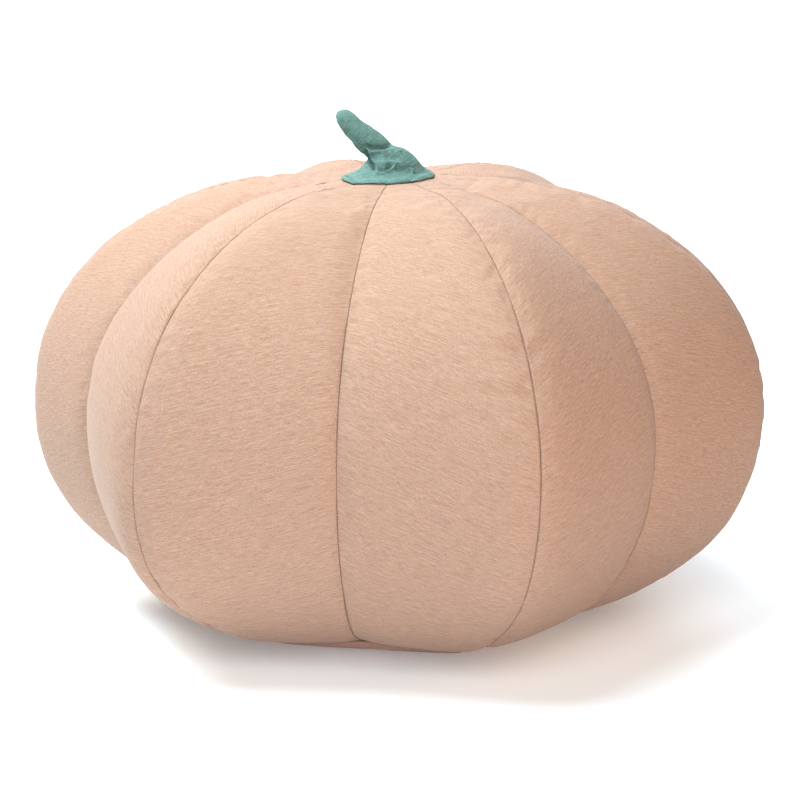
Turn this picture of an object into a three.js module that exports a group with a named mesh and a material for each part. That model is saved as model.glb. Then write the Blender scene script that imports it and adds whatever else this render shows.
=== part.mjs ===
import * as THREE from 'three';

// Floor pouf in the shape of a pumpkin: twelve sewn panels make six stuffed lobes, over a base panel and
// under a cloth stem. Millimetres, +Z up. The origin is the middle of the flat underside, on the floor.
// -Y is the front. A turn is an angle seen from above, 0 at the front and growing towards +X.

// Cloth and gaps
const CLOTH = 2;
const GAP = 0.3;

// Body: the crown is the level ring around the stem, where all panels come to a point
const CROWN_HEIGHT = 487;
const CROWN_RADIUS = 64;
const POINT_RADIUS = 6;
const UNDERSIDE_LEVELS = 3;
const PANEL_LEVELS = 20;

// Base panel and panels, from the floor up. A row is one level: where it lies on the ridge seam down the
// crest of a lobe, and on the groove seam between two lobes, as distance from the middle and height.
const LEVELS = [
  { name: 'edge of the underside', crestRadius: 163, crestHeight: 0, grooveRadius: 147, grooveHeight: 0 },
  { name: 'rim of the base panel', crestRadius: 180, crestHeight: 4, grooveRadius: 168, grooveHeight: 8 },
  { name: 'base seam', crestRadius: 195, crestHeight: 11, grooveRadius: 187, grooveHeight: 19 },
  { name: 'underside of the lobe', crestRadius: 281, crestHeight: 44, grooveRadius: 271, grooveHeight: 60 },
  { name: 'low side', crestRadius: 361, crestHeight: 112, grooveRadius: 326, grooveHeight: 138 },
  { name: 'under the widest part', crestRadius: 397, crestHeight: 202, grooveRadius: 344, grooveHeight: 212 },
  { name: 'over the widest part', crestRadius: 393, crestHeight: 296, grooveRadius: 341, grooveHeight: 283 },
  { name: 'shoulder', crestRadius: 344, crestHeight: 386, grooveRadius: 312, grooveHeight: 352 },
  { name: 'upper shoulder', crestRadius: 256, crestHeight: 452, grooveRadius: 249, grooveHeight: 418 },
  { name: 'top', crestRadius: 150, crestHeight: 485, grooveRadius: 152, grooveHeight: 471 },
];

// Six lobes, uneven as sewn and stuffed: the turn of each crest, how far it stands out half-way up and
// low down (1 is even), and the turn of the groove on its left.
const LOBES = [
  { name: 'front_right', crestTurn: 20.5, middleReach: 1, lowReach: 1, grooveTurn: -9.7 },
  { name: 'right', crestTurn: 80.4, middleReach: 1.004, lowReach: 1, grooveTurn: 50.3 },
  { name: 'back_right', crestTurn: 141.4, middleReach: 0.996, lowReach: 1.01, grooveTurn: 110.5 },
  { name: 'back_left', crestTurn: 200.6, middleReach: 0.998, lowReach: 1, grooveTurn: 170.5 },
  { name: 'left', crestTurn: 263, middleReach: 1.012, lowReach: 1.02, grooveTurn: 230.5 },
  { name: 'front_left', crestTurn: 319.6, middleReach: 1, lowReach: 1.025, grooveTurn: 287.5 },
];

// Columns of a panel from its crest (0) to its groove (1), closer where the crest is rounded
const COLUMNS = [0, 0.07, 0.15, 0.24, 0.35, 0.48, 0.64, 0.82, 1];

// How a panel crosses from crest to groove: it leaves the crest level, turns over a round ridge and then
// runs almost straight, with a slight swell into the groove.
const RIDGE_ROUNDING = 0.75;
const RIDGE_SHARPNESS = 4;
const PANEL_SWELL = 0.2;
const PANEL_LIFT = 0.02;

// Stem: rings from its foot, which lies flat on the crown, to the round tip. A row is one ring: its
// centre, its lean to the left in degrees, and its half width and half depth.
const STEM_SIDES = 24;
const STEM_RINGS = [
  { name: 'underside of the foot', x: -9, y: -3, z: 487.3, lean: 0, halfWidth: 49, halfDepth: 50 },
  { name: 'edge of the foot', x: -9, y: -3, z: 489.3, lean: 0, halfWidth: 49, halfDepth: 50 },
  { name: 'start of the rise', x: -7, y: -2, z: 491, lean: 0, halfWidth: 41, halfDepth: 38 },
  { name: 'lower cone', x: -5, y: -1, z: 496, lean: 0, halfWidth: 33, halfDepth: 27 },
  { name: 'upper cone', x: -7, y: 0, z: 503, lean: 6, halfWidth: 26, halfDepth: 21 },
  { name: 'shoulder fold', x: -12, y: 0, z: 510, lean: 16, halfWidth: 20, halfDepth: 17 },
  { name: 'waist crease', x: -20, y: 0, z: 515, lean: 32, halfWidth: 15.5, halfDepth: 14 },
  { name: 'over the crease', x: -28, y: 0, z: 521, lean: 40, halfWidth: 14.8, halfDepth: 14.5 },
  { name: 'middle of the tube', x: -39, y: 0, z: 533, lean: 40, halfWidth: 13.5, halfDepth: 14 },
  { name: 'upper tube', x: -49.5, y: 0, z: 544, lean: 42, halfWidth: 11.8, halfDepth: 12 },
  { name: 'start of the tip', x: -56, y: 0, z: 550, lean: 46, halfWidth: 9.8, halfDepth: 10.2 },
  { name: 'round of the tip', x: -60.5, y: 0, z: 554, lean: 48, halfWidth: 6.3, halfDepth: 6.8 },
];
const STEM_TIP = { x: -63, y: 0, z: 556.3 };

// Colours and finish
const PEACH = 0xd3ae97;
const PEACH_BASE = 0xc39b88;
const TEAL = 0x76988e;
const CLOTH_ROUGHNESS = 0.9;

function clothMaterial(colour) {
  return new THREE.MeshStandardMaterial({ color: colour, roughness: CLOTH_ROUGHNESS, metalness: 0 });
}

// A closed body from its corner points and triangles, turned so that its faces point out
function closedBody(name, points, triangles, colour) {
  let volume = 0;
  for (const [a, b, c] of triangles) {
    volume += points[a].dot(new THREE.Vector3().crossVectors(points[b], points[c]));
  }
  const geometry = new THREE.BufferGeometry().setFromPoints(points);
  geometry.setIndex(triangles.flatMap(([a, b, c]) => (volume > 0 ? [a, b, c] : [a, c, b])));
  geometry.computeVertexNormals();
  const mesh = new THREE.Mesh(geometry, clothMaterial(colour));
  mesh.name = name;
  return mesh;
}

// Profiles of a seam, as points of distance from the middle (x) and height (y)

// One of the two seams as a line through the levels, in even steps between the named rows
function seamLine(radiusKey, heightKey) {
  const rows = LEVELS.map((row) => new THREE.Vector3(row[radiusKey], row[heightKey], 0));
  rows.push(new THREE.Vector3(CROWN_RADIUS, CROWN_HEIGHT, 0));
  const rim = rows.slice(0, UNDERSIDE_LEVELS);
  const side = new THREE.CatmullRomCurve3(rows.slice(UNDERSIDE_LEVELS - 1), false, 'centripetal');
  const levels = side.getPoints(PANEL_LEVELS).slice(1);
  levels.push(new THREE.Vector3(POINT_RADIUS, CROWN_HEIGHT, 0));
  return [...rim, ...levels].map((point) => new THREE.Vector2(point.x, Math.min(point.y, CROWN_HEIGHT)));
}

const CREST_LINE = seamLine('crestRadius', 'crestHeight');
const GROOVE_LINE = seamLine('grooveRadius', 'grooveHeight');
const SEAM_LEVEL = UNDERSIDE_LEVELS - 1;

// Direction of a seam line at one level
function alongSeam(line, level) {
  const before = line[Math.max(level - 1, 0)];
  const after = line[Math.min(level + 1, line.length - 1)];
  return after.clone().sub(before).normalize();
}

// The way out of the cloth there, which is level at the edge of the flat underside
function outOfSeam(line, level) {
  const along = alongSeam(line, level);
  return level === 0 ? new THREE.Vector2(1, 0) : new THREE.Vector2(along.y, -along.x);
}

// Point of a seam line moved up along the seam and into the stuffing
function movedIn(line, level, up, depth) {
  const moved = line[level].clone().addScaledVector(alongSeam(line, level), up);
  return moved.addScaledVector(outOfSeam(line, level), -depth);
}

// The base panel's upper face at one level of its rim. Its flat part lies level.
function insideRim(line, level, depth) {
  const point = movedIn(line, level, 0, depth);
  return level === 0 ? new THREE.Vector2(point.x, depth) : point;
}

// Panels, from crest to groove

function turned(turn, point, reach = 1) {
  const angle = THREE.MathUtils.degToRad(turn);
  return new THREE.Vector3(
    point.x * reach * Math.sin(angle), -point.x * reach * Math.cos(angle), point.y);
}

// The two panels of each lobe: one from the crest to the groove on its left, one to that on its right
function panelsOfLobes() {
  return LOBES.flatMap((lobe, index) => {
    const next = LOBES[(index + 1) % LOBES.length];
    const wholeTurn = index === LOBES.length - 1 ? 360 : 0;
    const { name, grooveTurn, ...crest } = lobe;
    return [
      { ...crest, name: `panel_${name}_a`, grooveTurn },
      { ...crest, name: `panel_${name}_b`, grooveTurn: next.grooveTurn + wholeTurn },
    ];
  });
}

// How far out a lobe stands at one height, even at the base and the crown
function reachAt(panel, height) {
  const rise = THREE.MathUtils.clamp(height / CROWN_HEIGHT, 0, 1);
  const middle = (panel.middleReach - 1) * Math.sin(Math.PI * rise);
  const low = (panel.lowReach - 1) * Math.max(Math.sin(2 * Math.PI * rise), 0);
  return 1 + middle + low;
}

// A row of points across a panel, from its place on the crest line to that on the groove line
function acrossPanel(panel, crestPoint, groovePoint, outward) {
  const crest = turned(panel.crestTurn, crestPoint, reachAt(panel, crestPoint.y));
  const groove = turned(panel.grooveTurn, groovePoint);
  const out = turned(panel.crestTurn, outward);
  const span = groove.clone().sub(crest);
  const drop = -span.dot(out);
  const level = span.clone().addScaledVector(out, drop);
  const swell = crestPoint.y < CROWN_HEIGHT ? span.length() * PANEL_LIFT : 0;
  return COLUMNS.map((across) => {
    const rounding = RIDGE_ROUNDING * (1 - across) ** RIDGE_SHARPNESS;
    const fall = across - across * (1 - across) * (PANEL_SWELL + rounding);
    const lift = swell * 4 * across * (1 - across);
    return crest.clone().addScaledVector(level, across).addScaledVector(out, lift - drop * fall);
  });
}

// The edge of a row moved off the seam's plane, so that neighbours keep their gap
function clearOfNeighbours(row, panel) {
  const side = Math.sign(panel.grooveTurn - panel.crestTurn);
  const crestAngle = THREE.MathUtils.degToRad(panel.crestTurn);
  const grooveAngle = THREE.MathUtils.degToRad(panel.grooveTurn);
  const fromCrest = new THREE.Vector3(Math.cos(crestAngle), Math.sin(crestAngle), 0);
  const fromGroove = new THREE.Vector3(Math.cos(grooveAngle), Math.sin(grooveAngle), 0);
  row[0].addScaledVector(fromCrest, side * GAP / 2);
  row[row.length - 1].addScaledVector(fromGroove, -side * GAP / 2);
  return row;
}

// The upright edge where a panel's two cut faces meet, close to the middle of the pouf
function innerEdge(panel, height) {
  const spread = THREE.MathUtils.degToRad(Math.abs(panel.grooveTurn - panel.crestTurn)) / 2;
  const middle = (panel.grooveTurn + panel.crestTurn) / 2;
  return turned(middle, new THREE.Vector2(GAP / 2 / Math.sin(spread), height));
}

// Rows of one filled panel: over the base panel, out past the base seam, up the side to the crown
function panelRows(panel) {
  const row = (crestPoint, groovePoint, level) =>
    clearOfNeighbours(acrossPanel(panel, crestPoint, groovePoint, outOfSeam(CREST_LINE, level)), panel);
  const rows = [];
  for (let level = 0; level < SEAM_LEVEL; level += 1) {
    const depth = CLOTH + GAP;
    rows.push(row(insideRim(CREST_LINE, level, depth), insideRim(GROOVE_LINE, level, depth), level));
  }
  for (const depth of [CLOTH + GAP, 0]) {
    const crestPoint = movedIn(CREST_LINE, SEAM_LEVEL, GAP, depth);
    rows.push(row(crestPoint, movedIn(GROOVE_LINE, SEAM_LEVEL, GAP, depth), SEAM_LEVEL));
  }
  for (let level = SEAM_LEVEL + 1; level < CREST_LINE.length; level += 1) {
    rows.push(row(CREST_LINE[level], GROOVE_LINE[level], level));
  }
  return rows;
}

// Triangles of a grid of rows
function gridTriangles(rowCount, columnCount, closed) {
  const triangles = [];
  const spans = closed ? columnCount : columnCount - 1;
  const at = (row, column) => row * columnCount + (column % columnCount);
  for (let row = 0; row < rowCount - 1; row += 1) {
    for (let column = 0; column < spans; column += 1) {
      triangles.push([at(row, column), at(row, column + 1), at(row + 1, column + 1)]);
      triangles.push([at(row, column), at(row + 1, column + 1), at(row + 1, column)]);
    }
  }
  return triangles;
}

// Triangles from the first or the last row of a grid to a single point
function endTriangles(row, columnCount, point, closed) {
  const spans = closed ? columnCount : columnCount - 1;
  return Array.from({ length: spans }, (_, column) => {
    const here = row * columnCount + column;
    const next = row * columnCount + ((column + 1) % columnCount);
    return row === 0 ? [point, next, here] : [point, here, next];
  });
}

// Triangles of one flat face, whose outline runs through the given points as drawn by the flat view
function flatFaceTriangles(points, outline, flatView, direction) {
  const flat = outline.map((index) => flatView(points[index]));
  return THREE.ShapeUtils.triangulateShape(flat, []).map(([a, b, c]) => {
    const area = flat[b].clone().sub(flat[a]).cross(flat[c].clone().sub(flat[a]));
    const inOrder = area * direction > 0;
    return inOrder ? [outline[a], outline[b], outline[c]] : [outline[a], outline[c], outline[b]];
  });
}

const fromTheSide = ({ x, y, z }) => new THREE.Vector2(Math.hypot(x, y), z);
const fromAbove = ({ x, y }) => new THREE.Vector2(x, y);

function filledPanel(panel) {
  const rows = panelRows(panel);
  const width = COLUMNS.length;
  const points = rows.flat();
  const bottom = points.push(innerEdge(panel, CLOTH + GAP)) - 1;
  const top = points.push(innerEdge(panel, CROWN_HEIGHT)) - 1;
  const crestFace = [bottom, ...rows.map((row, index) => index * width), top];
  const grooveFace = [bottom, ...rows.map((row, index) => index * width + width - 1), top];
  const triangles = [
    ...endTriangles(0, width, bottom, false),
    ...gridTriangles(rows.length, width, false),
    ...endTriangles(rows.length - 1, width, top, false),
    ...flatFaceTriangles(points, crestFace, fromTheSide, 1),
    ...flatFaceTriangles(points, grooveFace, fromTheSide, -1),
  ];
  return closedBody(panel.name, points, triangles, PEACH);
}

// Base panel: one dish of cloth, flat on the floor, with its edge turned up to the base seam

function basePanel() {
  const lower = [0, 1, SEAM_LEVEL].map((level) => ({ level, depth: 0 }));
  const upper = [SEAM_LEVEL, 1, 0].map((level) => ({ level, depth: CLOTH }));
  const rows = [...lower, ...upper].map(({ level, depth }) =>
    panelsOfLobes().flatMap((panel) => {
      const crestPoint = insideRim(CREST_LINE, level, depth);
      const groovePoint = insideRim(GROOVE_LINE, level, depth);
      const row = acrossPanel(panel, crestPoint, groovePoint, outOfSeam(CREST_LINE, level));
      return panel.grooveTurn < panel.crestTurn ? row.reverse().slice(0, -1) : row.slice(0, -1);
    }));
  const points = rows.flat();
  const width = rows[0].length;
  const top = points.push(new THREE.Vector3(0, 0, CLOTH)) - 1;
  const triangles = [
    ...flatFaceTriangles(points, [...rows[0].keys()], fromAbove, -1),
    ...gridTriangles(rows.length, width, true),
    ...endTriangles(rows.length - 1, width, top, true),
  ];
  return closedBody('base_panel', points, triangles, PEACH_BASE);
}

// Stem: a cloth cone with a flat foot, bent over to the left into a stuffed tube

function stem() {
  const points = STEM_RINGS.flatMap((ring) => {
    const lean = THREE.MathUtils.degToRad(ring.lean);
    return Array.from({ length: STEM_SIDES }, (_, side) => {
      const angle = (side / STEM_SIDES) * 2 * Math.PI;
      const across = ring.halfWidth * Math.cos(angle);
      return new THREE.Vector3(
        ring.x + across * Math.cos(lean),
        ring.y + ring.halfDepth * Math.sin(angle),
        ring.z + across * Math.sin(lean));
    });
  });
  const foot = STEM_RINGS[0];
  const bottom = points.push(new THREE.Vector3(foot.x, foot.y, foot.z)) - 1;
  const top = points.push(new THREE.Vector3(STEM_TIP.x, STEM_TIP.y, STEM_TIP.z)) - 1;
  const triangles = [
    ...endTriangles(0, STEM_SIDES, bottom, true),
    ...gridTriangles(STEM_RINGS.length, STEM_SIDES, true),
    ...endTriangles(STEM_RINGS.length - 1, STEM_SIDES, top, true),
  ];
  return closedBody('stem', points, triangles, TEAL);
}

const pouf = new THREE.Group();
pouf.name = 'floor_pouf';
for (const panel of panelsOfLobes()) {
  pouf.add(filledPanel(panel));
}
pouf.add(basePanel());
pouf.add(stem());

export default pouf;
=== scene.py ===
import math

import bpy
import numpy as np
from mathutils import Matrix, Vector


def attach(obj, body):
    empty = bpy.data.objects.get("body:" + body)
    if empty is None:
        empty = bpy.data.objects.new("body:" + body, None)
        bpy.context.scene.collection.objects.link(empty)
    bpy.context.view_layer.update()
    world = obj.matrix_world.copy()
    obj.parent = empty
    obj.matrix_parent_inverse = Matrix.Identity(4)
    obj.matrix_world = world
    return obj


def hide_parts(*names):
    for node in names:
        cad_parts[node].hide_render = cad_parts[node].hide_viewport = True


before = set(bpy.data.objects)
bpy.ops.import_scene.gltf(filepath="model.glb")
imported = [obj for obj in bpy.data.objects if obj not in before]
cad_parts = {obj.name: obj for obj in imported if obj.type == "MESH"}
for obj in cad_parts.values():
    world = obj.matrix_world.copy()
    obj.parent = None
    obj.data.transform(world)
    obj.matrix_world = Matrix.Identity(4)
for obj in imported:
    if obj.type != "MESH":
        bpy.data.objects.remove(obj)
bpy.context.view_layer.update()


# Photo studio
# The pouf stands on a plain white floor that runs on out of sight. The floor glows with painted light:
# faintly near the pouf, which lifts its shadows, and brighter further out, where it shows pure white. Soft
# round lights hang high on the left, behind on the left and behind, a low one stands in front and a warm one
# on the right. The room gives no light of its own.
PHOTO_DISTANCE = 2.82
PHOTO_ELEVATION = math.radians(13.2)
PHOTO_LENS = 114.98
PHOTO_AIM = Vector((0.0041, 0, 0.2388))
FLOOR_SIZE = 60
FLOOR_WHITE = (0.912, 0.942, 0.962, 1)
FLOOR_GLOW = {"From Min": 1.6, "From Max": 3.2, "To Min": 0.185, "To Max": 1.1}
ROOM_LIGHT = 0
SOFT_LIGHTS = [
    {"name": "high_left", "azimuth": -60, "elevation": 70, "distance": 2.6, "size": 1.8, "watts": 105,
     "colour": (0.77, 1.0, 1.10)},
    {"name": "behind_left", "azimuth": -120, "elevation": 50, "distance": 2.6, "size": 1.8, "watts": 100,
     "colour": (0.94, 0.93, 0.85)},
    {"name": "behind", "azimuth": 180, "elevation": 40, "distance": 3.5, "size": 3, "watts": 88,
     "colour": (0.86, 1.06, 1.22)},
    {"name": "low_front", "azimuth": 0, "elevation": 25, "distance": 2.6, "size": 1.8, "watts": 54,
     "colour": (0.85, 0.96, 1.05)},
    {"name": "right", "azimuth": 50, "elevation": 25, "distance": 3.5, "size": 3, "watts": 52,
     "colour": (1.0, 0.56, 0.22)},
]


def towards_camera(azimuth, elevation):
    """The way out from the pouf at an angle seen from above, where 0 is the front."""
    return Vector((math.sin(azimuth) * math.cos(elevation),
                   -math.cos(azimuth) * math.cos(elevation), math.sin(elevation)))


def in_scene(name, data):
    """A new object in the scene, made of the data given."""
    made = bpy.data.objects.new(name, data)
    bpy.context.scene.collection.objects.link(made)
    return made


photo_camera = bpy.data.cameras.new("photo_camera")
photo_camera.lens = PHOTO_LENS
camera = in_scene("photo_camera", photo_camera)
camera.location = PHOTO_AIM + towards_camera(0, PHOTO_ELEVATION) * PHOTO_DISTANCE
camera.rotation_euler = (math.pi / 2 - PHOTO_ELEVATION, 0, 0)
bpy.context.scene.camera = camera
bpy.context.scene.view_settings.view_transform = "Standard"

room = bpy.data.worlds.new("room")
room.use_nodes = True
room.node_tree.nodes["Background"].inputs["Strength"].default_value = ROOM_LIGHT
bpy.context.scene.world = room

for light in SOFT_LIGHTS:
    lamp = bpy.data.lights.new(light["name"], "AREA")
    lamp.shape = "DISK"
    lamp.size = light["size"]
    lamp.energy = light["watts"]
    lamp.color = light["colour"]
    softbox = in_scene(light["name"], lamp)
    out = towards_camera(math.radians(light["azimuth"]), math.radians(light["elevation"]))
    softbox.location = PHOTO_AIM + out * light["distance"]
    softbox.rotation_euler = out.to_track_quat("Z", "Y").to_euler()


class Shade:
    """An output of a material's nodes. Sums written on it add Math nodes, and of() adds any other node."""

    def __init__(self, tree, socket=None):
        self.tree = tree
        self.socket = socket

    def of(self, kind, settings=None, sockets=None, output=0):
        """A new node of a type, with its settings and then its sockets' values or links, as its output."""
        made = self.tree.nodes.new("ShaderNode" + kind)
        for name, value in (settings or {}).items():
            if name == "stops":
                self.set_stops(made.color_ramp, value)
            else:
                setattr(made, name, value)
        for name, value in (sockets or {}).items():
            if isinstance(value, Shade):
                self.tree.links.new(value.socket, made.inputs[name])
            else:
                made.inputs[name].default_value = value
        return Shade(self.tree, made.outputs[output] if made.outputs else None)

    def set_stops(self, ramp, stops):
        while len(ramp.elements) < len(stops):
            ramp.elements.new(1)
        for element, (place, colour) in zip(ramp.elements, stops):
            element.position = place
            element.color = colour

    def math(self, operation, *values):
        return self.of("Math", {"operation": operation}, dict(enumerate(values)))

    def __add__(self, other):
        return self.math("ADD", self, other)

    def __radd__(self, other):
        return self.math("ADD", other, self)

    def __mul__(self, other):
        return self.math("MULTIPLY", self, other)

    def __rmul__(self, other):
        return self.math("MULTIPLY", other, self)

    def mixed(self, other, part):
        """This colour mixed towards another by a part from 0 to 1."""
        return self.of("Mix", {"data_type": "RGBA"}, {0: part, 6: self, 7: other}, output=2)

    def surface(self, sockets):
        """Ends the material's nodes: its finish, with these sockets, on the material's surface."""
        self.of("OutputMaterial", {}, {"Surface": self.of("BsdfPrincipled", {}, sockets)})


def paint(name):
    """A new material without nodes, and the start of its nodes."""
    made = bpy.data.materials.new(name)
    made.use_nodes = True
    made.node_tree.nodes.clear()
    return made, Shade(made.node_tree)


bpy.ops.object.select_all(action="DESELECT")
bpy.ops.mesh.primitive_plane_add(size=FLOOR_SIZE)
floor = bpy.context.object
floor.name = "floor"
white_paint, start = paint("white_floor")
# Painted light: the floor's glow grows with distance from the middle. It is faint in the pouf's shadow and
# white far out.
away = start.of("VectorMath", {"operation": "LENGTH"}, {0: start.of("TexCoord", output="Object")}, "Value")
glow = start.of("MapRange", {}, {"Value": away, **FLOOR_GLOW})
start.surface({"Base Color": FLOOR_WHITE, "Roughness": 0.9, "Specular IOR Level": 0.1,
               "Emission Color": glow, "Emission Strength": 1})
floor.data.materials.append(white_paint)


# Twelve body panels
# Each is a gore of peach melange upholstery cloth, stuffed tight and sewn to its neighbours along a ridge
# seam on the crest of a lobe and a groove seam between two lobes. Its points meet under the stem.
LOBE_NAMES = ("front_right", "right", "back_right", "back_left", "left", "front_left")
SEAM_GAP = 0.0003
CLOTH_GAP = 0.00006
ROWS_UNDER_THE_SEAM = 3
HEART = np.array((0.2, 0.22))
CROWN_HEIGHT = 0.487
INNER_POINT = 0.004

# Fineness of a panel's cloth: rows along it and columns across it, crowded along its edges and in its lowest
# part. The coarse one is for the cloth simulation.
CROWDED_PART = 1 / 8
FINE = {"rows": 190, "columns": 60, "edge_crowding": 0.78, "base_crowding": 0.6}
COARSE = {"rows": 130, "columns": 26, "edge_crowding": 0.6, "base_crowding": 0}

# How a panel crosses from crest to groove: over a round ridge, then almost straight, with a slight swell
RIDGE_ROUNDING = 0.75
RIDGE_SHARPNESS = 4
PANEL_SWELL = 0.2
PANEL_LIFT = 0.02
CROWN_EASE = 0.02
BASE_TUCK = 0.012
BASE_TUCK_FADE = 8
BASE_FLATNESS = 0.035
BACK_RISE = 0.004
BACK_RISE_WIDTH = 0.09

# A seam draws the cloth into a narrow ditch, deeper at the crown, and a wider strip beside it is pulled in
DITCH_DEPTH = 0.0004
CROWN_DITCH = 3
DITCH_WIDTH = 0.0004
DITCH_END = 0.010
CROWN_WIDTH = 0.05
PULL_DEPTH = 0.0016
PULL_WIDTH = 0.012

# Puckers run into each seam at a slant, closer and further apart, in places deep and in places not, and the
# broad cloth lies a little uneven
PUCKER_DEPTH = 0.0008
PUCKER_START = 0.002
PUCKER_REACH = 0.020
PUCKER_SLANT = 0.25
PUCKER_STEPS = (0.011, 0.017, 0.031)
PUCKER_SEEDS = 100
STRENGTH = {"least": 0.55, "more": 0.45, "step": 0.09, "seed": 500}
UNEVEN_DEPTH = 0.0016
UNEVEN_STEP = 0.11
PANEL_SEEDS = {"first": 11, "step": 3}

# Creases placed one by one as the photo shows them, each a soft trough with a ridge above it that starts from
# the crest seam. Millimetres: height of its start, reach into the panel, width and depth; then its slope.
CREASES = {
    "panel_front_right_a": [(368, 28, 6.5, 4.4, 0.1), (328, 42, 6.5, 3.8, 0.1), (300, 16, 4.5, 2.2, 0.3),
                            (237, 18, 5, 2.6, 0.1), (155, 32, 6, 2.7, 0)],
    "panel_front_right_b": [(452, 16, 4.5, 2.6, 0.4), (363, 24, 6.5, 4.6, 0.3), (330, 14, 4, 2.0, 0.5),
                            (290, 16, 4.5, 2.4, 0.5), (180, 24, 5, 2.6, 0.4)],
    "panel_front_left_b": [(314, 18, 4.5, 2.0, 0.2), (288, 16, 4.5, 1.8, 0.3), (165, 32, 5, 2.0, 0),
                           (124, 36, 5.5, 2.3, 0)],
    "panel_front_left_a": [(190, 24, 4.5, 2.1, 0.9), (148, 24, 4.5, 2.1, 0.9), (300, 18, 4.5, 1.8, 0.5)],
    "panel_right_b": [(285, 16, 4.5, 2.2, 0.1), (262, 12, 4, 1.9, -0.1), (222, 16, 4.5, 2.2, 0.1),
                      (195, 12, 4, 1.9, 0.2), (124, 16, 4.5, 2.0, 0)],
}
CREASE_START = 0.006
CREASE_RIDGE = {"height": 0.7, "above": 1.7}


def solid_points(node):
    """The corner points of a solid, each once."""
    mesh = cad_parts[node].data
    places = np.zeros(len(mesh.vertices) * 3)
    mesh.vertices.foreach_get("co", places)
    return np.unique(places.reshape(-1, 3).round(6), axis=0)


def seams_of(node):
    """The crest and the groove seam of a panel's solid: the turn of the upright plane that the seam lies in,
    and the seam's own line from the base up, as distance from the middle and height."""
    x, y, height = solid_points(node).T
    radius = np.hypot(x, y)
    middle = math.atan2(x.sum(), -y.sum())
    turn = (np.arctan2(x, -y) - middle + math.pi) % (2 * math.pi) - math.pi
    seams = []
    for side in (-1, 1):
        furthest = np.argmax(np.where(radius > HEART[0] / 2, side * turn, -math.pi))
        plane = side * turn[furthest] + SEAM_GAP / 2 / radius[furthest]
        on_seam = (radius > 10 * SEAM_GAP) & (radius * np.sin(plane - side * turn) < SEAM_GAP)
        line = np.column_stack((radius, height))[on_seam]
        round_heart = np.arctan2(*(line - HEART).T[::-1])
        line = line[np.argsort(round_heart)]
        apart = np.linalg.norm(np.diff(line, axis=0), axis=1) > SEAM_GAP
        line = line[np.append(True, apart)][ROWS_UNDER_THE_SEAM:]
        seams.append({"side": side, "turn": middle + side * plane, "line": line})
    return sorted(seams, key=lambda seam: -seam["line"][:, 0].max())


def smooth_curve(places, points, at):
    """A natural cubic curve through points that lie at the given places along it."""
    step = np.diff(places)
    count = len(places)
    system = np.eye(count)
    bend = np.zeros_like(points)
    slope = np.diff(points, axis=0) / step[:, None]
    for row in range(1, count - 1):
        system[row, row - 1:row + 2] = step[row - 1], 2 * (step[row - 1] + step[row]), step[row]
        bend[row] = 6 * (slope[row] - slope[row - 1])
    bend = np.linalg.solve(system, bend)
    left = np.clip(np.searchsorted(places, at) - 1, 0, count - 2)
    width = step[left][:, None]
    after = (np.asarray(at) - places[left])[:, None]
    before = width - after
    return ((bend[left] * before ** 3 + bend[left + 1] * after ** 3) / (6 * width)
            + (points[left] / width - bend[left] * width / 6) * before
            + (points[left + 1] / width - bend[left + 1] * width / 6) * after)


def turned(turn, line):
    """Points of an upright plane, given as distance and height, turned to their place round the pouf."""
    return np.stack((line[..., 0] * math.sin(turn), -line[..., 0] * math.cos(turn), line[..., 1]), axis=-1)


def unit(vectors):
    """Vectors of length 1 in the directions given."""
    return vectors / np.linalg.norm(vectors, axis=-1, keepdims=True)


def uneven_line(at, step, seed):
    """A smooth irregular wave between -1 and 1 along a line, with a bend about every step."""
    random = np.random.default_rng(seed)
    count, before = 400, 50
    knots = random.uniform(-1, 1, count)
    place = np.asarray(at) / step + before
    knot = np.floor(place).astype(int)
    part = place - knot
    part = part * part * (3 - 2 * part)
    return knots[knot] * (1 - part) + knots[knot + 1] * part


def uneven_sheet(u, v, step, seed):
    """A smooth irregular surface between -1 and 1, with a bend about every step both ways."""
    random = np.random.default_rng(seed)
    count, before = 60, 20
    knots = random.uniform(-1, 1, (count, count))
    place = np.stack((u, v)) / step + before
    knot = np.floor(place).astype(int)
    part = place - knot
    part = part * part * (3 - 2 * part)
    (i, j), (a, b) = knot, part
    low = knots[i, j] * (1 - a) + knots[i + 1, j] * a
    high = knots[i, j + 1] * (1 - a) + knots[i + 1, j + 1] * a
    return low * (1 - b) + high * b


def corner(start, end, from_start, from_end):
    """The third corner of a flat triangle, to the left of the line from its first corner to its second."""
    line = end - start
    length = max(np.linalg.norm(line), 1e-9)
    foot = (from_start ** 2 - from_end ** 2 + length ** 2) / (2 * length)
    height = math.sqrt(max(from_start ** 2 - foot ** 2, 0))
    line = line / length
    return start + foot * line + height * np.array((-line[1], line[0]))


def seam_seed(seam):
    """A seam's own seed for its puckers: its turn in tenths of a degree, of 3600."""
    return int(math.degrees(seam["turn"]) * 10) % 3600


def grid_faces(index):
    """The faces of a grid, from the numbers of its points."""
    corners = (index[:-1, :-1], index[:-1, 1:], index[1:, 1:], index[1:, :-1])
    return np.stack(corners, axis=-1).reshape(-1, 4)


def out_of_line(line, along):
    """The way out from each point of a line in an upright plane, as distance and height."""
    tangent = unit(np.gradient(line, along, axis=0))
    return np.stack((tangent[:, 1], -tangent[:, 0]), axis=-1)


def cloth_piece(name, points, faces, pattern, smooth):
    """A piece of cloth, with each point's place on the flat cloth as its UV map."""
    cloth = bpy.data.meshes.new(name)
    cloth.from_pydata(points.tolist(), [], faces)
    loops = np.zeros(len(cloth.loops), dtype=int)
    cloth.loops.foreach_get("vertex_index", loops)
    cut = cloth.uv_layers.new(name="cut")
    cut.data.foreach_set("uv", pattern[loops].ravel())
    cloth.polygons.foreach_set("use_smooth", smooth)
    return in_scene(name, cloth)


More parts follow.
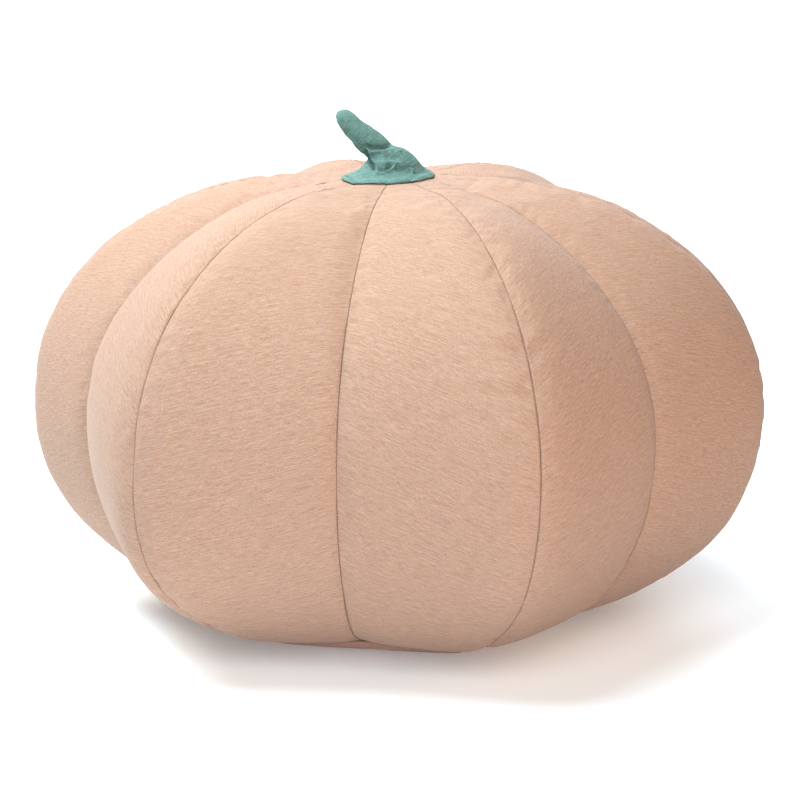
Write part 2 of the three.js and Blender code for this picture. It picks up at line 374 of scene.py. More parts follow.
class Panel:
    """One panel's cloth as a grid of rows (from the base seam up) and columns (from crest to groove)."""

    def __init__(self, node, seed, grid):
        self.node = node
        self.seed = seed
        self.rows, self.columns = grid["rows"], grid["columns"]
        self.crest, self.groove = seams_of(node)
        lines = np.stack((self.crest["line"], self.groove["line"]))
        steps = np.linalg.norm(np.diff(lines, axis=1), axis=2).mean(axis=0)
        places = np.concatenate(([0], np.cumsum(steps)))
        even = np.linspace(0, 1, self.rows + 1)
        ease = np.sin(math.pi * np.minimum(even / CROWDED_PART, 1)) * CROWDED_PART / math.pi
        self.along = (even - grid["base_crowding"] * ease) * places[-1]
        self.crest_line = smooth_curve(places, lines[0], self.along)
        tuck = BASE_TUCK * (1 - even) ** BASE_TUCK_FADE
        self.groove_line = smooth_curve(places, lines[1], self.along + tuck)
        self.crest_line[:, 1] = np.minimum(self.crest_line[:, 1], CROWN_HEIGHT)
        if "back" in node:
            distance, height = self.crest_line.T
            crown = np.exp(-((distance - HEART[0]) / BACK_RISE_WIDTH) ** 2) * (height > HEART[1])
            self.crest_line[:, 1] += BACK_RISE * crown
        even = np.linspace(0, 1, self.columns + 1)
        self.across = even - grid["edge_crowding"] * np.sin(2 * math.pi * even) / (2 * math.pi)
        self.places = self.stuffed_shape()
        self.measure()

    def stuffed_shape(self):
        """The cloth's even shape, before its seams and puckers."""
        crest = turned(self.crest["turn"], self.crest_line)
        groove = turned(self.groove["turn"], self.groove_line)
        out = turned(self.crest["turn"], out_of_line(self.crest_line, self.along))
        span = groove - crest
        drop = -(span * out).sum(axis=1, keepdims=True)
        level = span + out * drop
        q = self.across
        round_part = 1 - np.exp(-(self.along / BASE_FLATNESS) ** 2)[:, None]
        fall = q - q * (1 - q) * (PANEL_SWELL + RIDGE_ROUNDING * (1 - q) ** RIDGE_SHARPNESS) * round_part
        ease = np.clip((CROWN_HEIGHT - self.crest_line[:, 1]) / CROWN_EASE, 0, 1)
        lift = np.linalg.norm(span, axis=1) * PANEL_LIFT * ease
        lift = lift[:, None] * 4 * q * (1 - q) * round_part
        return (crest[:, None] + level[:, None] * q[:, None]
                + out[:, None] * (lift - drop * fall)[..., None])

    def measure(self):
        """Distances on the cloth from its crest, its groove and its base seam, and its outward directions."""
        steps = np.linalg.norm(np.diff(self.places, axis=1), axis=2)
        self.from_crest = np.concatenate((np.zeros((self.rows + 1, 1)), np.cumsum(steps, axis=1)), axis=1)
        self.from_groove = self.from_crest[:, -1:] - self.from_crest
        steps = np.linalg.norm(np.diff(self.places, axis=0), axis=2).mean(axis=1)
        self.from_base = np.concatenate(([0], np.cumsum(steps)))[:, None] + 0 * self.from_crest
        up = np.gradient(self.places, self.along, axis=0)
        sideways = np.gradient(self.places, self.across, axis=1) * -self.crest["side"]
        out = unit(np.cross(sideways, up))
        for column, seam, line in ((0, self.crest, self.crest_line), (-1, self.groove, self.groove_line)):
            in_plane = turned(seam["turn"], out_of_line(line, self.along))
            near = np.exp(-(self.from_crest if column == 0 else self.from_groove) / PULL_WIDTH)[..., None]
            out = out * (1 - near) + in_plane[:, None] * near
        self.out = unit(out)

    def relief(self):
        """How far each point stands in or out of the even shape, from seams, puckers and uneven filling."""
        height = UNEVEN_DEPTH * uneven_sheet(self.from_crest, self.from_base, UNEVEN_STEP, self.seed)
        height *= 1 - np.exp(-np.minimum(self.from_crest, self.from_groove) / PULL_WIDTH)
        ditch = np.zeros_like(height)
        seams = ((self.from_crest, self.from_base, seam_seed(self.crest)),
                 (self.from_groove, self.from_base, seam_seed(self.groove)),
                 (self.from_base, self.from_crest, self.seed))
        for away, along, seed in seams:
            ditch += DITCH_DEPTH * np.exp(-away / DITCH_WIDTH)
            height -= PULL_DEPTH * np.exp(-(away / PULL_WIDTH) ** 2)
            strength = uneven_line(along, STRENGTH["step"], seed + STRENGTH["seed"])
            strength = STRENGTH["least"] + STRENGTH["more"] * strength
            for number, step in enumerate(PUCKER_STEPS):
                wave_seed = seed + PUCKER_SEEDS * number + self.seed % 7
                wave = uneven_line(along + PUCKER_SLANT * away, step, wave_seed)
                reach = PUCKER_REACH * step / PUCKER_STEPS[1]
                fade = (1 - np.exp(-away / PUCKER_START)) * np.exp(-away / reach)
                height += PUCKER_DEPTH * strength * wave * fade
        for start, reach, width, depth, slope in CREASES.get(self.node, []):
            away = self.from_crest
            starts = self.from_base[np.argmin(abs(self.crest_line[:, 1] - start / 1000)), 0]
            past = (self.from_base - starts - slope * away) / (width / 1000)
            fade = np.exp(-(away / (reach / 1000)) ** 2) * (1 - np.exp(-away / CREASE_START))
            ridge = CREASE_RIDGE["height"] * np.exp(-(past - CREASE_RIDGE["above"]) ** 2)
            height += depth / 1000 * fade * (ridge - np.exp(-past ** 2))
        panel_width = self.from_crest[:, -1:]
        ditch *= 1 + CROWN_DITCH * np.exp(-(panel_width / CROWN_WIDTH) ** 2) * (self.from_base > HEART[1])
        height *= np.clip(panel_width / CROWN_WIDTH, 0, 1)
        return height - ditch * np.clip(panel_width / DITCH_END, 0, 1)

    def flat_pattern(self):
        """Where each point of the cloth lay on the flat cloth that the panel was cut from."""
        crest, groove = self.places[:, 0], self.places[:, -1]
        width = np.linalg.norm(groove - crest, axis=1)
        flat = np.zeros((self.rows + 1, 2, 2))
        flat[0, 1] = (width[0], 0)
        for row in range(self.rows):
            up = np.linalg.norm(crest[row + 1] - crest[row])
            slant = np.linalg.norm(crest[row + 1] - groove[row])
            flat[row + 1, 0] = corner(flat[row, 0], flat[row, 1], up, slant)
            up = np.linalg.norm(groove[row + 1] - groove[row])
            flat[row + 1, 1] = corner(flat[row + 1, 0], flat[row, 1], width[row + 1], up)
        part = (self.from_crest / self.from_crest[:, -1:])[..., None]
        flat = flat[:, :1] * (1 - part) + flat[:, 1:] * part
        middle = flat.mean(axis=1)
        low, high = middle[self.rows // 4], middle[3 * self.rows // 4]
        lean = math.atan2(high[0] - low[0], high[1] - low[1])
        turn = np.array(((math.cos(lean), math.sin(lean)), (-math.sin(lean), math.cos(lean))))
        return flat @ turn

    def spot(self, seam, along, away):
        """Points of the finished cloth at distances along one of its seams and away from it, and the way out
        there."""
        line, side = (self.crest_line, 0) if seam is self.crest else (self.groove_line, -1)
        length = np.concatenate(([0], np.cumsum(np.linalg.norm(np.diff(line, axis=0), axis=1))))
        row = np.interp(along, length, np.arange(self.rows + 1))
        low = np.minimum(row.astype(int), self.rows - 1)
        part = (row - low)[:, None]
        distance = self.from_crest if side == 0 else self.from_groove[:, ::-1]
        found = []
        for field in (self.places, self.out):
            field = field if side == 0 else field[:, ::-1]
            at = [np.stack([np.interp(away, distance[i], field[i, :, axis]) for axis in range(3)], axis=-1)
                  for i in range(self.rows + 1)]
            at = np.array(at)
            found.append(at[low] * (1 - part) + at[low + 1] * part)
        return found

    def shape(self, travel):
        """Moves the even cloth as the simulation did, gives it its relief, and keeps it on its own side of
        both seams."""
        self.even_places = self.places
        self.pattern = self.flat_pattern()
        travel = travel * (1 - np.exp(-(self.along / BASE_HOLD) ** 2))[:, None, None]
        self.places = self.places + travel + self.out * self.relief()[..., None]
        for seam in (self.crest, self.groove):
            turn = seam["turn"]
            inwards = np.array((math.cos(turn), math.sin(turn), 0)) * -seam["side"]
            short = CLOTH_GAP / 2 - self.places @ inwards
            self.places = self.places + np.maximum(short, 0)[..., None] * inwards

    def piece(self, name):
        """The panel as a closed mesh: its cloth, and its border drawn in to the middle of the pouf."""
        rows, columns = self.rows + 1, self.columns + 1
        index = np.arange(rows * columns).reshape(rows, columns)
        quads = grid_faces(index)
        border = np.concatenate((index[0], index[1:, -1], index[-1, -2::-1], index[-2:0:-1, 0]))
        core = rows * columns
        fan = np.stack((np.roll(border, -1), border, np.full_like(border, core)), axis=-1)
        if self.crest["side"] > 0:
            quads, fan = quads[:, ::-1], fan[:, ::-1]
        middle = (self.crest["turn"] + self.groove["turn"]) / 2
        inner = turned(middle, np.array((INNER_POINT, HEART[1])))
        points = np.vstack((self.places.reshape(-1, 3), inner))
        pattern = np.vstack((self.pattern.reshape(-1, 2), (0, 0)))
        faces = quads.tolist() + fan.tolist()
        smooth = np.arange(len(faces)) < len(quads)
        return cloth_piece(name, points, faces, pattern, smooth)


# The cloth is cut a little longer along its seams than the seams themselves, so it gathers there when it
# is stuffed. The simulation swells the coarse cloth with its sewn edges held, and no point goes far.
LOOSE_CLOTH = 0.008
GATHERED_CLOTH = 0.10
GATHER_REACH = 0.012
STUFFING_PRESSURE = 0.7
STUFFING_FRAMES = 16
FURTHEST_TRAVEL = 0.005
BASE_HOLD = 0.05
STUFFED_CLOTH = {"quality": 5, "mass": 0.3, "tension_stiffness": 15, "compression_stiffness": 15,
                 "shear_stiffness": 5, "bending_stiffness": 0.05, "air_damping": 1,
                 "vertex_group_mass": "sewn", "pin_stiffness": 1,
                 "vertex_group_shrink": "gathered", "shrink_min": -LOOSE_CLOTH, "shrink_max": -GATHERED_CLOTH,
                 "use_pressure": True, "uniform_pressure_force": STUFFING_PRESSURE}


def stuffing_travel(patches):
    """How far the simulation moves each point of the coarse patches of cloth."""
    points, faces, sewn, gathered, count = [], [], [], [], 0
    for patch in patches:
        rows, columns = patch.rows + 1, patch.columns + 1
        index = np.arange(rows * columns).reshape(rows, columns) + count
        quads = grid_faces(index)
        faces += (quads[:, ::-1] if patch.crest["side"] > 0 else quads).tolist()
        points.append(patch.places.reshape(-1, 3))
        sewn += [*index[0], *index[-1], *index[1:-1, 0], *index[1:-1, -1]]
        away = np.minimum(np.minimum(patch.from_crest, patch.from_groove), patch.from_base)
        gathered.append(np.exp(-away / GATHER_REACH).ravel())
        count += rows * columns
    points, gathered = np.vstack(points), np.concatenate(gathered)
    mesh = bpy.data.meshes.new("stuffing")
    mesh.from_pydata(points.tolist(), [], faces)
    sheet = in_scene("stuffing", mesh)
    sheet.vertex_groups.new(name="sewn").add([int(place) for place in sewn], 1, "REPLACE")
    group = sheet.vertex_groups.new(name="gathered")
    for place, weight in enumerate(gathered):
        group.add([place], float(weight), "REPLACE")
    modifier = sheet.modifiers.new("stuffing", "CLOTH")
    for name, value in STUFFED_CLOTH.items():
        setattr(modifier.settings, name, value)
    modifier.settings.effector_weights.gravity = 0
    modifier.collision_settings.use_collision = False
    modifier.point_cache.frame_start = 1
    modifier.point_cache.frame_end = STUFFING_FRAMES
    for moment in range(1, STUFFING_FRAMES + 1):
        bpy.context.scene.frame_set(moment)
    swollen = sheet.evaluated_get(bpy.context.evaluated_depsgraph_get())
    moved = np.zeros(points.size)
    swollen.data.vertices.foreach_get("co", moved)
    travel = moved.reshape(-1, 3) - points
    bpy.context.scene.frame_set(1)
    bpy.data.objects.remove(sheet)
    length = np.maximum(np.linalg.norm(travel, axis=1, keepdims=True), SEAM_GAP)
    travel = travel / length * FURTHEST_TRAVEL * np.tanh(length / FURTHEST_TRAVEL)
    return np.split(travel.reshape(len(patches), -1, 3), len(patches))


def on_finer_grid(travel, coarse, fine):
    """The travel of a coarse patch's points, carried over to the points of the fine one."""
    travel = travel.reshape(coarse.rows + 1, -1)
    places = coarse.along / coarse.along[-1]
    travel = smooth_curve(places, travel, fine.along / fine.along[-1])
    travel = travel.reshape(fine.rows + 1, coarse.columns + 1, 3).swapaxes(0, 1)
    travel = smooth_curve(coarse.across, travel.reshape(coarse.columns + 1, -1), fine.across)
    return travel.reshape(fine.columns + 1, fine.rows + 1, 3).swapaxes(0, 1)


nodes_of_panels = [f"panel_{lobe}_{hand}" for lobe in LOBE_NAMES for hand in "ab"]
panels = [Panel(node, PANEL_SEEDS["first"] + PANEL_SEEDS["step"] * number, FINE)
          for number, node in enumerate(nodes_of_panels)]
patches = [Panel(panel.node, panel.seed, COARSE) for panel in panels]
travels = [on_finer_grid(travel, patch, panel)
           for travel, patch, panel in zip(stuffing_travel(patches), patches, panels)]
for panel, travel in zip(panels, travels):
    panel.shape(travel)


# The cloth has fine weft streaks of uneven length in three near shades, over a finer grain. The streaks rise
# from the crest to the groove, in degrees, at each panel's own slant.
WEFT_RISE = {"front_left_b": 21, "front_right_a": 26}
OTHER_RISE = 23
STREAK_LENGTH = 0.009
STREAK_WIDTH = 0.00062
PEACH = {"body": (0.302, 0.178, 0.121, 1), "light": (0.400, 0.252, 0.184, 1),
         "dark": (0.205, 0.108, 0.070, 1), "pink": (0.292, 0.174, 0.140, 1),
         "warm": (0.340, 0.180, 0.103, 1)}
SHADE_STOPS = {"dark": 0.40, "body": 0.50, "light": 0.60}
PINK_PLACES = {"From Min": 0.48, "From Max": 0.62, "To Max": 0.75}
WARM_PLACES = {"From Min": 0.52, "From Max": 0.38, "To Max": 0.6}
PATTERN_SHIFT = 0.1
WEAVE_RELIEF = 0.0004


def melange_cloth(name, shades, rise, offset, streak=STREAK_LENGTH):
    """A material of streaked cloth. Its weft rises by an angle, and its streaks are of the length given."""
    cloth, start = paint(name)
    cut = start.of("UVMap", {"uv_map": "cut"})

    def threads(length, width, detail, shift=0):
        weft = start.of("Mapping", {}, {"Vector": cut, "Rotation": (0, 0, -math.radians(rise)),
                                        "Location": (offset + shift, offset, 0)})
        stretched = start.of("Mapping", {}, {"Vector": weft, "Scale": (1 / length, 1 / width, 1)})
        return start.of("TexNoise", {"noise_dimensions": "2D"},
                        {"Vector": stretched, "Scale": 1, "Detail": detail, "Roughness": 0.6})

    streaks = threads(streak, STREAK_WIDTH, 2)
    long_streaks = threads(4 * streak, 1.4 * STREAK_WIDTH, 1, 0.7)
    warp = threads(STREAK_WIDTH, 0.4 * streak, 2)
    hue = threads(0.9 * streak, 1.2 * STREAK_WIDTH, 2, 0.3)
    tone = 0.42 * streaks + 0.26 * long_streaks + 0.32 * warp
    stops = [(place, shades[shade]) for shade, place in SHADE_STOPS.items()]
    colour = start.of("ValToRGB", {"stops": stops}, {"Fac": tone})
    pinkness = start.of("MapRange", {}, {"Value": hue, **PINK_PLACES})
    warmth = start.of("MapRange", {}, {"Value": hue, **WARM_PLACES})
    colour = colour.mixed(shades["pink"], pinkness).mixed(shades["warm"], warmth)
    relief = 0.6 * streaks + 0.4 * warp
    bump = start.of("Bump", {}, {"Height": relief, "Strength": 0.5, "Distance": WEAVE_RELIEF})
    start.surface({"Base Color": colour, "Normal": bump, "Roughness": 0.9, "Specular IOR Level": 0.25,
                   "Sheen Weight": 0.07, "Sheen Roughness": 0.4})
    return cloth


for panel in panels:
    piece = panel.piece("cloth_" + panel.node)
    place = panel.node.removeprefix("panel_")
    rise = WEFT_RISE.get(place, OTHER_RISE)
    piece.data.materials.append(melange_cloth("peach_" + place, PEACH, rise, PATTERN_SHIFT * panel.seed))
    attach(piece, "root")
    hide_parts(panel.node)


# Seam stitches
# The panels are closed from outside with a blind ladder stitch: short rungs of peach thread that cross each
# seam a few millimetres apart and draw its two edges together. Here the thread is painted dark brown, darker
# than
# the cloth: painted shade of the seam's ditch.
STITCH_PITCH = 0.0034
STITCH_REACH = 0.0008
STITCH_SLANT = 0.0002
STITCH_SAG = 0.0001
STITCH_UNEVEN = {"part": 0.12, "step": 0.005}
THREAD_RADIUS = 0.00038
THREAD_LIFT = 1.6
THREAD_SIDES = 4
SEAM_START = 0.004
SEAM_END = 0.045

# Points along a rung: how far across the seam, and how much of the thread's lift and sag each has
RUNG = [(0, 0, 0), (0.25, 1, 0.6), (0.5, 0, 1), (0.75, 1, 0.6), (1, 0, 0)]
# Painted shade: the thread's dark brown stands in for the shade in the seam's ditch.
SHADED_THREAD_PEACH = (0.20, 0.112, 0.076, 1)


def rungs(panel, other, seam):
    """The middle lines of the rungs along the seam of two panels, as rung, point and place."""
    line = panel.crest_line if seam is panel.crest else panel.groove_line
    length = np.linalg.norm(np.diff(line, axis=0), axis=1).sum()
    along = np.arange(SEAM_START, length - SEAM_END, STITCH_PITCH)
    uneven = uneven_line(along, STITCH_UNEVEN["step"], panel.seed)
    along = along + STITCH_UNEVEN["part"] * STITCH_PITCH * uneven
    other_seam = other.crest if seam is panel.crest else other.groove
    near, out = panel.spot(seam, along - STITCH_SLANT, STITCH_REACH)
    far, other_out = other.spot(other_seam, along + STITCH_SLANT, STITCH_REACH)
    out = unit(out + other_out)
    near, far = near - out * THREAD_RADIUS, far - out * THREAD_RADIUS
    lift = out * THREAD_RADIUS * THREAD_LIFT
    sag = out * STITCH_SAG
    points = [near * (1 - part) + far * part + lift * lifted - sag * sagging
              for part, lifted, sagging in RUNG]
    return np.stack(points, axis=1), out


def thread(name, lines, outs):
    """One mesh of short closed threads along lines of points."""
    count, points = lines.shape[:2]
    along = unit(np.gradient(lines, axis=1))
    across = unit(np.cross(along, np.broadcast_to(outs[:, None], along.shape)))
    up = np.cross(across, along)
    angle = np.arange(THREAD_SIDES) * 2 * math.pi / THREAD_SIDES + math.pi / THREAD_SIDES
    ring = (across[:, :, None] * np.cos(angle)[:, None] + up[:, :, None] * np.sin(angle)[:, None])
    rings = lines[:, :, None] + ring * THREAD_RADIUS
    index = np.arange(points * THREAD_SIDES).reshape(points, THREAD_SIDES)
    following = np.roll(index, -1, axis=1)
    sides = np.stack((index[:-1], index[1:], following[1:], following[:-1]), axis=-1).reshape(-1, 4)
    faces = np.vstack((sides, index[:1], index[-1:, ::-1]))
    faces = faces + (np.arange(count) * points * THREAD_SIDES)[:, None, None]
    mesh = bpy.data.meshes.new(name)
    mesh.from_pydata(rings.reshape(-1, 3).tolist(), [], faces.reshape(-1, 4).tolist())
    return in_scene(name, mesh)


lines, outs = [], []
for number, panel in enumerate(panels):
    first_of_lobe = number % 2 == 0
    crest_mate = panels[number + 1] if first_of_lobe else None
    groove_mate = None if first_of_lobe else panels[(number + 1) % len(panels)]
    for mate, seam in ((crest_mate, panel.crest), (groove_mate, panel.groove)):
        if mate:
            line, out = rungs(panel, mate, seam)
            lines.append(line)
            outs.append(out)
stitches = thread("seam_stitches", np.vstack(lines), np.vstack(outs))
shaded_thread, start = paint("shaded_thread")
start.surface({"Base Color": SHADED_THREAD_PEACH, "Roughness": 0.8})
stitches.data.materials.append(shaded_thread)
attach(stitches, "root")


# Base panel
# One disc of the same cloth closes the underside. It lies flat on the floor, and its edge turns up to the
# base seam, where it shows as a low pinkish strip. Its colours are painted lighter than the panels' peach:
# painted light on the strip, which stands in shade.
BASE_CLOTH = 0.002
STRIP_ROWS = 22
STRIP_CROWDING = 0.8
STRIP_SWELL = 0.010
STRIP_FULLNESS = 0.8
FLAT_ROWS = 6
UPPER_FACE = 0.985
# Painted light: the base's peach is lighter than the panels' peach, which lifts its strip out of the shade it
# stands in.
PEACH_BASE_PAINTED_LIGHT = {"body": (0.40, 0.228, 0.175, 1), "light": (0.50, 0.305, 0.24, 1),
              "dark": (0.29, 0.152, 0.114, 1), "pink": (0.39, 0.228, 0.19, 1),
              "warm": (0.43, 0.23, 0.16, 1)}


def closed_rings(name, rings, u, v):
    """A closed mesh from rings of points of equal count, with a pole at each end, turned to face out."""
    count, around = rings.shape[:2]
    index = np.arange(count * around).reshape(count, around)
    following = np.roll(index, -1, axis=1)
    quads = np.stack((index[:-1], following[:-1], following[1:], index[1:]), axis=-1).reshape(-1, 4)
    first, last = count * around, count * around + 1
    fans = np.vstack((np.column_stack((following[0], index[0], np.full(around, first))),
                      np.column_stack((index[-1], following[-1], np.full(around, last)))))
    points = np.vstack((rings.reshape(-1, 3), rings[0].mean(axis=0), rings[-1].mean(axis=0)))
    pattern = np.column_stack((np.append(u, (0, 0)), np.append(v, (v.min(), v.max()))))
    faces = quads.tolist() + fans.tolist()
    return cloth_piece(name, points, faces, pattern, np.ones(len(faces), dtype=bool))


x, y, height = solid_points("base_panel").T
on_floor = (height < BASE_CLOTH / 2) & (np.hypot(x, y) > HEART[0] / 2)
edge_turn, edge_radius = np.arctan2(x, -y)[on_floor], np.hypot(x, y)[on_floor]
by_turn = np.argsort(edge_turn)
seam_ring, ditch_ring = [], []
for panel in panels:
    order = slice(None, 0, -1) if panel.crest["side"] > 0 else slice(None, -1)
    seam_ring.append(panel.even_places[0][order])
    ditch_ring.append(-panel.out[0][order])
seam_ring, ditch_ring = np.vstack(seam_ring), np.vstack(ditch_ring)
ring_turn = np.arctan2(seam_ring[:, 0], -seam_ring[:, 1])
radius = np.interp(ring_turn, edge_turn[by_turn], edge_radius[by_turn], period=2 * math.pi)
floor_ring = np.column_stack((radius * np.sin(ring_turn), -radius * np.cos(ring_turn), 0 * ring_turn))
strip_length = np.linalg.norm(seam_ring - floor_ring, axis=1).mean()
down = unit(floor_ring - seam_ring)
outward = unit(floor_ring)
even = np.linspace(0, 1, STRIP_ROWS)
strip_part = even - STRIP_CROWDING * np.sin(math.pi * even) / math.pi
strip_part = strip_part / strip_part[-1]
rings = []
for part in strip_part:
    away = part * strip_length
    depth = DITCH_DEPTH * math.exp(-(away + SEAM_GAP) / DITCH_WIDTH)
    swell = STRIP_SWELL * math.sin(math.pi * part) ** STRIP_FULLNESS
    ring = seam_ring * (1 - part) + floor_ring * part + down * SEAM_GAP * (1 - part)
    ring = ring + ditch_ring * depth + outward * swell
    ring[:, 2] = np.maximum(ring[:, 2], 0)
    rings.append(ring)
for part in np.linspace(0, 1, FLAT_ROWS + 1)[1:-1]:
    rings.append(floor_ring * (1 - part))
upper = [ring * (1, 1, 0) * UPPER_FACE + (0, 0, BASE_CLOTH) for ring in rings[:STRIP_ROWS - 2:-1]]
inner = rings[0] + ditch_ring * BASE_CLOTH
base_rings = np.stack([*upper, inner, *rings])[:, ::-1]
u = np.broadcast_to(ring_turn[::-1] * HEART[0], base_rings.shape[:2])
v = np.cumsum(np.linalg.norm(np.diff(base_rings, axis=0, prepend=base_rings[:1]), axis=2).mean(axis=1))
base = closed_rings("cloth_base_panel", base_rings, u, v[:, None] + 0 * u)
base.data.materials.append(melange_cloth("base_melange_painted_light", PEACH_BASE_PAINTED_LIGHT, rise=0, offset=0.3))
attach(base, "root")
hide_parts("base_panel")


# Stem
# A sleeve of teal-green cloth, stuffed and closed to a round tip, bends over to the left. Its foot spreads
# into a skirt and a flat flange that is sewn down over the panels' points.
MILLIMETRE = 0.001
STEM_SIDES = 176
STEM_RINGS = 110
FLANGE_RINGS = 12
FLANGE_CLEARANCE = 0.3
CROWN_ROWS = 60
NEAREST_POINTS = 4

# Sections of the stem in millimetres, from its foot up: x, y and z of its left and its right edge, and half
# its depth. Where on_cloth is 1, z is above the panels.
STEM_ROWS = [
    {"left": (-57.3, -21.5, 0.4), "right": (39.8, 4.5, 0.4), "half_depth": 49, "on_cloth": 1},
    {"left": (-58.8, -22, 1.6), "right": (41.4, 5, 1.6), "half_depth": 50.4, "on_cloth": 1},
    {"left": (-57.5, -21.6, 3.2), "right": (40, 4.6, 3.4), "half_depth": 48.6, "on_cloth": 1},
    {"left": (-50.5, -18, 491.6), "right": (35.5, 4, 492.4), "half_depth": 38.5, "on_cloth": 0},
    {"left": (-44, -14, 494.4), "right": (30, 3, 497), "half_depth": 32.5, "on_cloth": 0},
    {"left": (-38, -9, 498.4), "right": (22.5, 2, 506), "half_depth": 26.5, "on_cloth": 0},
    {"left": (-33, -4, 503), "right": (13, 1, 515), "half_depth": 21.5, "on_cloth": 0},
    {"left": (-30.6, -2, 506.5), "right": (4.5, 0, 518.6), "half_depth": 18, "on_cloth": 0},
    {"left": (-33.5, -1, 509.4), "right": (-3.2, 0, 520.9), "half_depth": 15.8, "on_cloth": 0},
    {"left": (-37.6, 0, 513), "right": (-9, 0, 526.2), "half_depth": 14.6, "on_cloth": 0},
    {"left": (-43.4, 0, 519.2), "right": (-18.5, 0, 535), "half_depth": 14.4, "on_cloth": 0},
    {"left": (-50.2, 0, 527.6), "right": (-29.6, 0, 542.4), "half_depth": 13.4, "on_cloth": 0},
    {"left": (-57, 0, 536.6), "right": (-38.4, 0, 548), "half_depth": 12.2, "on_cloth": 0},
    {"left": (-62, 0, 543.8), "right": (-44.4, 0, 554), "half_depth": 10.8, "on_cloth": 0},
    {"left": (-64.6, 0, 549), "right": (-49.4, 0, 557.4), "half_depth": 8.8, "on_cloth": 0},
    {"left": (-65, 0, 552.8), "right": (-53.4, 0, 559.2), "half_depth": 6.2, "on_cloth": 0},
    {"left": (-63.4, 0, 556.4), "right": (-57.4, 0, 559.7), "half_depth": 3, "on_cloth": 0},
]

# Folds of the sleeve in millimetres, as x and height seen at the photo's angle from the front, or level from
# the back. Ridges stand out and troughs sink in by their height.
STEM_FOLDS = [
    {"side": "front", "width": 2.2, "height": -6.0,
     "path": [(-31.6, 520.2), (-26.1, 518.4), (-15.1, 519.6), (-8.4, 521.8)]},
    {"side": "front", "width": 2.6, "height": 2.2, "path": [(-28, 514.6), (-15, 515.2), (-4, 516)]},
    {"side": "front", "width": 3.0, "height": -3.4, "path": [(-10, 508.2), (-5.2, 507.4), (-1, 507.2)]},
    {"side": "front", "width": 2.3, "height": 1.9, "path": [(-19.4, 500.8), (-8, 501.6), (11.2, 499.4)]},
    {"side": "front", "width": 1.5, "height": 3.0,
     "path": [(-31.1, 517.8), (-27.2, 506.5), (-21.7, 499.8), (-20, 489.6)]},
    {"side": "front", "width": 2.2, "height": -10,
     "path": [(-32, 514), (-30, 507), (-26.6, 500.4), (-24.5, 497)]},
    {"side": "front", "width": 1.4, "height": 3.0,
     "path": [(-19, 488.6), (-9.6, 490.4), (-4.1, 494), (-1.3, 498)]},
    {"side": "front", "width": 2.2, "height": -5.2, "path": [(-17.3, 492.8), (-11.8, 494.6), (-7, 498.4)]},
    {"side": "front", "width": 3.6, "height": -3.6, "path": [(2.6, 495.6), (12.4, 494.4)]},
    {"side": "front", "width": 1.8, "height": 4.0, "path": [(0.5, 513.5), (7.5, 505), (17.9, 492.6)]},
    {"side": "front", "width": 2.6, "height": -4.6, "path": [(6, 513), (13, 505), (23.5, 493.5)]},
    {"side": "front", "width": 1.6, "height": 1.2, "path": [(-47, 485.4), (-37.3, 488.6), (-28, 490)]},
    {"side": "front", "width": 1.8, "height": -1.8, "path": [(-46.5, 489.8), (-37.3, 492.6), (-31, 497)]},
    {"side": "front", "width": 2.6, "height": -2.0, "path": [(21.3, 497.4), (27.9, 493)]},
    {"side": "front", "width": 1.1, "height": 1.8,
     "path": [(-62.4, 549), (-53.9, 534.8), (-42, 522.4), (-37.2, 515.6)]},
    {"side": "front", "width": 1.3, "height": -2.8,
     "path": [(-64, 547.4), (-55.7, 532.8), (-43.9, 520.6), (-38.8, 513.6)]},
    {"side": "back", "width": 2.8, "height": -3.4, "path": [(-32, 518), (-18, 515.5), (-4, 520)]},
    {"side": "back", "width": 2.2, "height": 2.4, "path": [(-20, 514), (-14, 504), (-16, 494)]},
    {"side": "back", "width": 2.8, "height": -5.0, "path": [(-25, 508), (-21, 500), (-22, 494)]},
    {"side": "back", "width": 3.2, "height": -3.2, "path": [(0, 512), (6, 503), (16, 494)]},
    {"side": "back", "width": 2.6, "height": -2.6, "path": [(-40, 494), (-30, 498), (-24, 506)]},
]
SEEN_DROP = 2
FOLD_EDGE = 2.5
STEM_WAVE = {"height": 0.6, "step": 9, "radius": 14, "start": 12, "seed": 41}
STEM_RADIUS = 20
TEAL = {"body": (0.074, 0.147, 0.127, 1), "light": (0.165, 0.275, 0.242, 1),
        "dark": (0.026, 0.066, 0.055, 1), "pink": (0.084, 0.148, 0.134, 1),
        "warm": (0.078, 0.155, 0.126, 1)}
TEAL_STREAK = 0.004


def distance_to_path(x, z, path):
    """The least distance of points to a line of straight stretches, in one view."""
    nearest = np.full(np.shape(x), np.inf)
    for (x0, z0), (x1, z1) in zip(path, path[1:]):
        dx, dz = x1 - x0, z1 - z0
        part = np.clip(((x - x0) * dx + (z - z0) * dz) / (dx * dx + dz * dz), 0, 1)
        nearest = np.minimum(nearest, np.hypot(x - x0 - part * dx, z - z0 - part * dz))
    return nearest


def ring_directions(rings):
    """The way out of the cloth at each point of a stack of rings."""
    around = np.roll(rings, -1, axis=1) - np.roll(rings, 1, axis=1)
    along = np.gradient(rings, axis=0)
    return unit(np.cross(around, along))


def cloth_below(x, y):
    """The height in millimetres of the panels' cloth under points near the crown."""
    cloth = np.vstack([panel.places[-CROWN_ROWS:].reshape(-1, 3) for panel in panels]) / MILLIMETRE
    found = []
    for i, j in zip(np.ravel(x), np.ravel(y)):
        nearest = np.argsort(np.hypot(cloth[:, 0] - i, cloth[:, 1] - j))[:NEAREST_POINTS]
        found.append(cloth[nearest, 2].max())
    return np.reshape(found, np.shape(x))


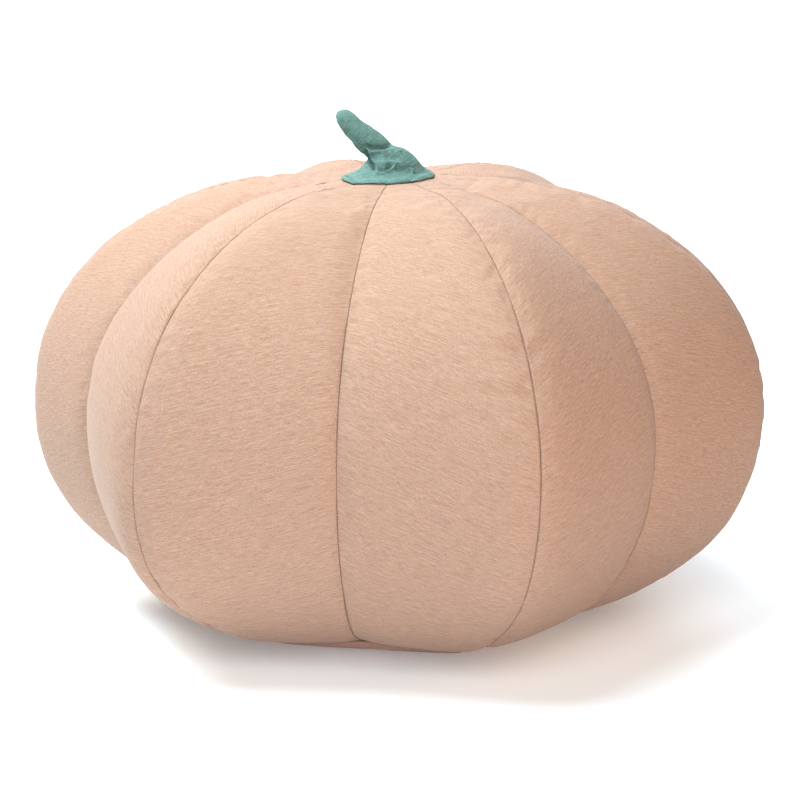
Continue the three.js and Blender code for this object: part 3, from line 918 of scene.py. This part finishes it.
stem_table = np.array([(*row["left"], *row["right"], row["half_depth"]) for row in STEM_ROWS])
angle = np.linspace(0, 2 * math.pi, STEM_SIDES, endpoint=False)
left, right = stem_table[:, None, 0:3], stem_table[:, None, 3:6]
section = (left + right) / 2 + (right - left) / 2 * np.cos(angle)[:, None]
section[..., 1] += stem_table[:, 6:] * np.sin(angle)
for ring, row in zip(section, STEM_ROWS):
    if row["on_cloth"]:
        ring[:, 2] += cloth_below(ring[:, 0], ring[:, 1])
steps = np.linalg.norm(np.diff(section, axis=0), axis=2).mean(axis=1)
places = np.concatenate(([0], np.cumsum(steps)))
even = np.linspace(0, 1, STEM_RINGS)
rings = smooth_curve(places, section.reshape(len(section), -1), even * places[-1])
rings = rings.reshape(STEM_RINGS, -1, 3)
out = ring_directions(rings)
move = np.zeros(rings.shape[:2])
for fold in STEM_FOLDS:
    front = fold["side"] == "front"
    faces = -out[..., 1] if front else out[..., 1]
    seen = rings[..., 2] + (rings[..., 1] * math.tan(PHOTO_ELEVATION) + SEEN_DROP if front else 0)
    near = np.exp(-(distance_to_path(rings[..., 0], seen, fold["path"]) / fold["width"]) ** 2)
    move += fold["height"] * near * np.clip(faces * FOLD_EDGE, 0, 1)
along = even[:, None] * places[-1]
wave = uneven_sheet(angle * STEM_WAVE["radius"] + 0 * along, along + 0 * angle,
                    STEM_WAVE["step"], STEM_WAVE["seed"])
move += STEM_WAVE["height"] * wave * np.clip(along / STEM_WAVE["start"], 0, 1)
flange = rings[:FLANGE_RINGS]
lowest = cloth_below(flange[..., 0], flange[..., 1]) + FLANGE_CLEARANCE
rings = rings + out * move[..., None]
rings[:FLANGE_RINGS, :, 2] = np.maximum(rings[:FLANGE_RINGS, :, 2], lowest)
under = rings[0] * (0.5, 0.5, 1) + rings[0].mean(axis=0) * (0.5, 0.5, 0)
rings = np.concatenate((under[None], rings))
along = np.concatenate(([[0]], along))
stem = closed_rings("cloth_stem", rings * MILLIMETRE, (angle * STEM_RADIUS + 0 * along) * MILLIMETRE,
                    (along + 0 * angle) * MILLIMETRE)
stem.data.materials.append(melange_cloth("teal_weave", TEAL, rise=0, offset=0.2, streak=TEAL_STREAK))
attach(stem, "root")
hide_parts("stem")
